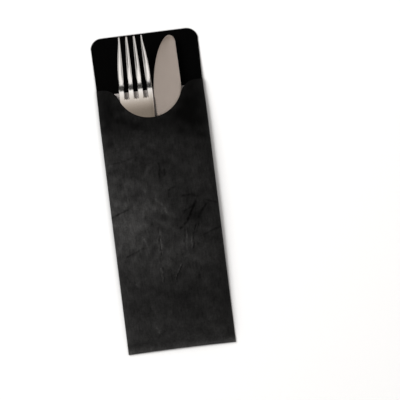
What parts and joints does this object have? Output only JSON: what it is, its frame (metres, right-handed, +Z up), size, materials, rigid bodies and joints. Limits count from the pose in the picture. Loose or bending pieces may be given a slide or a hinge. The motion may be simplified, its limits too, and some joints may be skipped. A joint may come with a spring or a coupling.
{
  "type": "cutlery pouch with napkin",
  "caption": "Flat black paper cutlery pouch with a scooped front panel, holding a folded napkin, a table fork and a table knife.",
  "frame": {"origin": "on the surface that the pouch lies on, under the middle of its length and width", "axes": "+Y along the pouch towards its open end, +Z up out of the front panel, +X across to the knife's side"},
  "size_m": [0.085, 0.25, 0.0137],
  "materials": {
    "pouch_paper": "satin",
    "napkin_tissue": "matte",
    "steel": "polished"
  },
  "bodies": {
    "root": {"pouch": "pouch_paper", "napkin": "napkin_tissue", "fork": "steel", "knife": "steel"}
  },
  "joints": []
}
